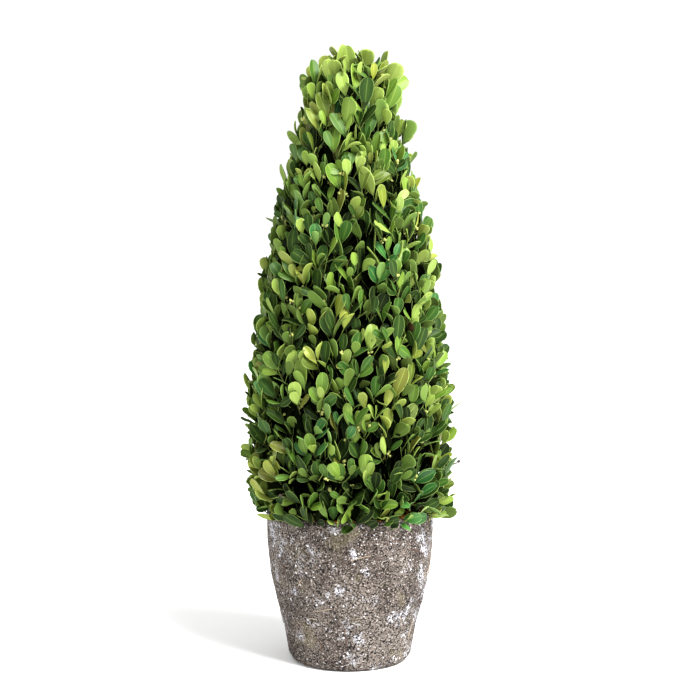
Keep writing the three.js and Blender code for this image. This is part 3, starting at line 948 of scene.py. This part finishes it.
def build_buds():
    """Clusters of small yellowish buds where leaves join, and a few dry seed heads on stalks."""
    for tier, name in enumerate(TIERS):
        tubes = Tubes(BUD_SIDES)
        for bud_tier, point, heading in bud_sites:
            if bud_tier != tier:
                continue
            for _ in range(random.integers(*BUDS.count)):
                way = unit(heading + random.normal(0, BUDS.scatter, 3))
                grow_bud(tubes, point, way, random.uniform(*BUDS.sizes), BUD)
        if name == "skirt":
            grow_seed_heads(tubes)
        materials = [
            plain_material("bud", (146, 152, 76), 0.6),
            plain_material("seed_head", (40, 26, 16), 0.8),
            plain_material("seed_stalk", (58, 66, 26), 0.8),
        ]
        finish_piece(tubes.piece(f"buds_{name}", materials), foliage_slot(name))


def grow_bud(tubes, point, way, size, kind):
    """A bud as a short tube that swells and closes again."""
    line = [point + way * size * (1 + BUD_STEP * step) for step in range(len(BUD_SWELL))]
    tubes.add(line, [size * share for share in BUD_SWELL], kind)


def grow_seed_heads(tubes):
    for azimuth, height in SEED_HEADS:
        outward = level_way(math.radians(azimuth))
        inside = crown_radius(height) - STALK.inside
        line = []
        for step in range(STALK.points):
            up = height - STALK.drop + STALK.climb * step
            line.append(outward * (inside + STALK.step * step) + UP * up)
        tubes.add(line, np.full(len(line), STALK.radius), SEED_STALK)
        way = unit(outward + SEED_NOD * UP)
        grow_bud(tubes, line[-1] - SEED_SIZE * outward, way, SEED_SIZE, SEED_HEAD)


def build_core():
    """The tangle behind the leaves, near black as painted shade of the deep gaps."""
    heights = np.linspace(CORE.bottom + 1, CORE.top - TANGLE.top_drop, TANGLE.rows)
    profile = [(core_radius(height) - TANGLE.depth, height) for height in heights]
    profile = [(0, CORE.bottom)] + profile + [(0, CORE.tip - TANGLE.top_drop)]
    points, faces = lathe(profile, TANGLE.segments)
    for point in points[:-2]:
        lump = noise.fractal(Vector(point * TANGLE.lump_scale), 1.0, 2.0, 4)
        point[:2] *= 1 + TANGLE.lump * lump
    # Its near-black colour is painted shade for the deep gaps between the leaves.
    material = plain_material("core_painted_shade", (10, 11, 5), 1.0, gloss=0.0)
    finish_piece(mesh_piece("crown_core", points, faces, [material]), "foliage")


# ---------------- pot

POT_OUTLINE = [(0, 47.5), (1.5, 50.6), (6, 53.6), (30, 57.5), (54, 64), (78, 69.5), (104, 72), (132, 72.5)]
POT_WALL = 9
POT_SEGMENTS = 480
POT_STEP = 0.85
# The rounding of the rim, and how far it stays inside the pot's radius and height to leave the relief room.
LIP = Values(radius=3, steps=6, inset=0.5, drop=0.4, across=5)
# The hidden foot and inside, as radius and height. The inside's first point is just below the rim.
POT_FOOT = [(0, 0), (40, 0), (48, 0)]
POT_INSIDE = [(RIM_RADIUS - LIP.inset - POT_WALL, height) for height in (POT_HEIGHT - 3, 100)]
POT_INSIDE += [(50, 16), (0, 16)]
# The cast surface's grain, lumps and pits: their depths, their scales per millimetre and how much of its cell
# a pit takes. Then the share of the relief on the rim's top, and below which height it fades to the foot.
RELIEF = Values(
    grain=0.42, grain_scale=0.75, lump=0.15, lump_scale=0.09, pit=1.0, pit_scale=0.16, pit_size=0.2,
    rim_share=0.5, fade=3,
)
# The colours of fibre cement, and the hairs of plant fibre on it.
CEMENT = Values(
    dark=(80, 70, 64), light=(118, 108, 100), grain=(8, 5, 4), fleck=(178, 169, 162),
    stain=(118, 110, 78), lime=(184, 183, 188), chip=(206, 205, 210),
)
HAIRS = Values(
    count=60, lowest=15, below_rim=12, curve=1.2, lengths=(5, 20), points=8, lift=0.5, radius=0.22,
)
FIBRE_SIDES = 3


def pot_radius(height):
    return np.interp(height, [p[0] for p in POT_OUTLINE], [p[1] for p in POT_OUTLINE])


def pot_relief(point):
    """How far the rough cast surface stands in or out at a point."""
    grain = noise.fractal(Vector(point * RELIEF.grain_scale), 0.8, 2.1, 3)
    lumps = noise.noise(Vector(point * RELIEF.lump_scale))
    pit = max(0.0, RELIEF.pit_size - noise.voronoi(Vector(point * RELIEF.pit_scale))[0][0]) / RELIEF.pit_size
    return RELIEF.grain * grain + RELIEF.lump * lumps - RELIEF.pit * pit


def pot_shown():
    """The profile of the pot's outside and rim, up to just inside the rim."""
    heights = np.arange(POT_STEP, POT_HEIGHT - LIP.radius, POT_STEP)
    outer = [(pot_radius(height), height) for height in heights]
    rim, top = RIM_RADIUS - LIP.inset, POT_HEIGHT - LIP.drop
    lip = [
        (rim + LIP.radius * (math.cos(angle) - 1), top + LIP.radius * (math.sin(angle) - 1))
        for angle in np.linspace(0, math.pi / 2, LIP.steps)
    ]
    flat = np.linspace(rim - LIP.radius - 1, rim - POT_WALL + 2, LIP.across)
    return outer + lip + [(radius, top) for radius in flat]


def build_pot():
    shown = pot_shown()
    points, faces = lathe(POT_FOOT + shown + POT_INSIDE, POT_SEGMENTS)
    first = len(POT_FOOT) - 1
    for point in points[first * POT_SEGMENTS : (first + len(shown)) * POT_SEGMENTS]:
        radius = math.hypot(point[0], point[1])
        relief = pot_relief(point)
        if point[2] > POT_HEIGHT - 1:
            point[2] += RELIEF.rim_share * relief
        else:
            point[:2] *= (radius + relief * min(1.0, point[2] / RELIEF.fade)) / radius
    piece = mesh_piece("pot_shell", points, faces, [pot_material()])
    finish_piece(piece, "pot_cement", "pot")


def pot_material():
    """Fibre cement: taupe with dark grains, painted shade of dark pits, pale flecks and chips, lime bloom and
    yellowish stains.

    Heights and widths in here are in metres.
    """
    material = plain_material("fibre_cement", (118, 108, 99), 0.95, gloss=0.2)
    nodes = Nodes(material)
    grain = nodes.noise(560, 3, 0.7, stretch=(1, 1, 1.3))
    fleck = nodes.noise(720, 2.5, 0.65)
    cloud = nodes.noise(24, 3, 0.6)
    bloom = nodes.noise(58, 5, 0.68, stretch=(1, 1, 0.85))
    stain = nodes.noise(34, 2, 0.5)
    base = nodes.blend(nodes.ramp(cloud, 0.36, 0.62), CEMENT.dark, CEMENT.light)
    base = nodes.blend(nodes.ramp(grain, 0.54, 0.44), base, CEMENT.grain)
    base = nodes.blend(nodes.ramp(fleck, 0.58, 0.66), base, CEMENT.fleck)
    base = nodes.blend(nodes.times(nodes.ramp(stain, 0.6, 0.74), 0.28), base, CEMENT.stain)
    # Lime shows most in a band low on the pot and at its sides.
    height = nodes.along("Z")
    band = nodes.times(nodes.ramp(height, 0.016, 0.03), nodes.ramp(height, 0.062, 0.042))
    sides = nodes.ramp(nodes.maths("ABSOLUTE", nodes.along("X"), 0), 0.046, 0.066)
    lime = nodes.plus(bloom, nodes.times(nodes.maths("MAXIMUM", band, sides), 0.07))
    white = nodes.times(nodes.ramp(lime, 0.57, 0.68), nodes.ramp(grain, 0.45, 0.55))
    base = nodes.blend(white, base, CEMENT.lime)
    # Chips and dark pits sit in cells, where the other noises leave them room. The pits' dark colour is
    # painted shade of holes.
    chips = nodes.maths("SUBTRACT", nodes.cells(190), nodes.times(bloom, 0.8))
    chips = nodes.maths("SUBTRACT", chips, nodes.times(fleck, 0.5))
    base = nodes.blend(nodes.ramp(chips, -0.49, -0.58), base, CEMENT.chip)
    # Painted shade: dark spots for the shade inside pits.
    pit_shade = nodes.plus(nodes.plus(nodes.cells(80), cloud), nodes.times(grain, 0.4))
    base = nodes.blend(nodes.ramp(pit_shade, 0.75, 0.68), base, CEMENT.grain)
    nodes.colour(base)
    nodes.bump(nodes.plus(grain, fleck), 0.0012)
    return material


def build_pot_hairs():
    """Plant fibres of the cement mix that lie half free on the pot's side."""
    materials = [
        plain_material("hair_brown", (84, 48, 26), 0.8),
        plain_material("hair_dark", (30, 22, 16), 0.8),
        plain_material("hair_pale", (186, 166, 140), 0.8),
    ]
    tubes = Tubes(FIBRE_SIDES)
    for index in range(HAIRS.count):
        azimuth = random.uniform(0, 2 * math.pi)
        height = random.uniform(HAIRS.lowest, POT_HEIGHT - HAIRS.below_rim)
        slant, curve = random.uniform(0, math.pi), spread(HAIRS.curve)
        length = random.uniform(*HAIRS.lengths)
        line = []
        for share in np.linspace(0, 1, HAIRS.points):
            along = length * share
            up = height + along * math.sin(slant + curve * share)
            turn = azimuth + along * math.cos(slant + curve * share) / RIM_RADIUS
            line.append((pot_radius(up) + HAIRS.lift) * level_way(turn) + up * UP)
        tubes.add(line, np.full(len(line), HAIRS.radius), kind=index % len(materials))
    finish_piece(tubes.piece("pot_hairs", materials), "pot_cement")


# ---------------- fibre in the pot

# The bed of fibre: its hidden bottom, its rings, how far it lies below the fill's top, and its lumps.
BED = Values(bottom=100, rings=26, innermost=12, segments=120, drop=0.8)
BED_LUMPS = Values(height=1.2, drop=0.6, scale=0.35)
# Loose fibres. Places count outward from the wall's inner face, and heights up from the fill's top.
STRANDS = Values(
    count=700, places=(-10, 3.5), heights=(-1, 1.5), slopes=(-0.1, 0.6), curl=0.5, lengths=(6, 15),
    points=6, radii=(0.14, 0.26),
)


def build_coir():
    radius = FILL_BOX[1][0]
    surface = FILL_TOP - BED.drop
    rings = np.linspace(radius, BED.innermost, BED.rings)
    profile = [(0, BED.bottom), (radius - 2, BED.bottom), (radius - 0.5, FILL_TOP - 3)]
    profile += [(ring, surface) for ring in rings] + [(0, surface)]
    points, faces = lathe(profile, BED.segments)
    for point in points[:-2]:
        if point[2] > FILL_TOP - 2:
            lump = noise.fractal(Vector(point * BED_LUMPS.scale), 0.9, 2.0, 3)
            point[2] += BED_LUMPS.height * lump - BED_LUMPS.drop
    material = plain_material("coir", (130, 72, 28), 0.95, gloss=0.15)
    nodes = Nodes(material)
    strands = nodes.noise(300, 4, 0.7)
    nodes.colour(nodes.blend(nodes.ramp(strands, 0.35, 0.65), (92, 52, 20), (196, 128, 56)))
    nodes.bump(strands, 0.002)
    finish_piece(mesh_piece("coir_bed", points, faces, [material]), "potting_fibre", "potting_fill")
    build_coir_strands(material)


def build_coir_strands(material):
    """Loose fibres of the bed, which curl up along the rim."""
    tubes = Tubes(FIBRE_SIDES)
    shares = np.linspace(0, 1, STRANDS.points)
    for _ in range(STRANDS.count):
        azimuth = random.uniform(0, 2 * math.pi)
        radius = RIM_RADIUS - POT_WALL + random.uniform(*STRANDS.places)
        start = radius * level_way(azimuth) + (FILL_TOP + random.uniform(*STRANDS.heights)) * UP
        way = unit(np.array([*random.normal(0, 1, 2), random.uniform(*STRANDS.slopes)]))
        curl = random.normal(0, STRANDS.curl, 3)
        curl[2] = -abs(curl[2])
        length = random.uniform(*STRANDS.lengths)
        line = [start + way * length * share + curl * length * share**2 for share in shares]
        for point in line:
            reach = math.hypot(point[0], point[1])
            point[:2] *= min(1.0, (RIM_RADIUS - 1.0) / reach)
            over_rim = reach > RIM_RADIUS - POT_WALL - 1
            point[2] = max(point[2], POT_HEIGHT + 0.2 if over_rim else FILL_TOP - 1)
        tubes.add(line, np.full(len(line), random.uniform(*STRANDS.radii)))
    finish_piece(tubes.piece("coir_strands", [material]), "potting_fibre")


# ---------------- stem

# The stem's radius above its root flare and at its top, the flare's height, and the bark's ridges.
STEM = Values(foot=8, top=3.5, flare=14, rows=150, segments=40)
RIDGES = Values(scale=(0.5, 0.5, 0.06), height=0.07, drop=0.06)


def build_stem():
    low, high = STEM_BOX[0][2], STEM_BOX[1][2]
    flare_radius = STEM_BOX[1][0]
    profile = []
    for height in np.linspace(low, high, STEM.rows):
        taper = mix(STEM.foot, STEM.top, (height - low) / (high - low))
        flare = max(0.0, 1 - (height - low) / STEM.flare) ** 2 * (flare_radius - STEM.foot)
        profile.append((taper + flare, height))
    points, faces = lathe([(0, low)] + profile + [(0, high)], STEM.segments)
    for point in points[:-2]:
        ridge = noise.fractal(Vector(point * RIDGES.scale), 0.8, 2.0, 4)
        point[:2] *= 1 + RIDGES.height * ridge - RIDGES.drop
    material = plain_material("bark", (104, 84, 60), 0.9, gloss=0.2)
    nodes = Nodes(material)
    furrows = nodes.noise(420, 4, 0.6, stretch=(1, 1, 0.15))
    nodes.colour(nodes.blend(nodes.ramp(furrows, 0.35, 0.65), (62, 48, 34), (146, 126, 96)))
    nodes.bump(furrows, 0.001)
    finish_piece(mesh_piece("stem_bark", points, faces, [material]), "stem_bark", "stem")


# ---------------- studio

# Metres, degrees, watts and, for the lens and sensor, millimetres.
CAMERA = Values(distance=1.770, height=0.5075, pitch=7.59, lens=106.4, sensor=36)
KEY_LIGHT = Values(place=(1.2, -1.12, 2.1), aim=(0, 0, 0.28), size=1.25, power=197)
WORLD_STRENGTH = 1.03
FLOOR_HALF = 30.0


def add_camera():
    camera = add_object("camera", bpy.data.cameras.new("camera"))
    camera.data.lens = CAMERA.lens
    camera.data.sensor_width = CAMERA.sensor
    camera.location = (0, -CAMERA.distance, CAMERA.height)
    camera.rotation_euler = (math.radians(90 - CAMERA.pitch), 0, 0)
    bpy.context.scene.camera = camera
    bpy.context.scene.view_settings.view_transform = "Standard"


def add_world():
    world = bpy.data.worlds.new("studio")
    world.use_nodes = True
    background = world.node_tree.nodes["Background"]
    background.inputs["Color"].default_value = (1, 1, 1, 1)
    background.inputs["Strength"].default_value = WORLD_STRENGTH
    bpy.context.scene.world = world


def add_key_light():
    light = add_object("key", bpy.data.lights.new("key", "AREA"))
    light.data.size = KEY_LIGHT.size
    light.data.energy = KEY_LIGHT.power
    light.location = KEY_LIGHT.place
    aim = Vector(KEY_LIGHT.aim) - Vector(KEY_LIGHT.place)
    light.rotation_euler = aim.to_track_quat("-Z", "Y").to_euler()


def add_floor():
    mesh = bpy.data.meshes.new("floor")
    corners = [(x * FLOOR_HALF, y * FLOOR_HALF, 0) for x, y in ((-1, -1), (1, -1), (1, 1), (-1, 1))]
    mesh.from_pydata(corners, [], [(0, 1, 2, 3)])
    mesh.materials.append(plain_material("pale_floor", (255, 255, 255), 0.9, gloss=0.0))
    add_object("floor", mesh)


def build_studio():
    add_camera()
    add_world()
    add_key_light()
    add_floor()


# ---------------- assembly

build_studio()
build_pot()
build_pot_hairs()
build_coir()
build_stem()
build_core()
grow_crown()
leaf_sites.sort(key=lambda site: -site["share"])
for site in leaf_sites:
    grow_leaf(site)
build_leaves()
build_twigs()
build_buds()
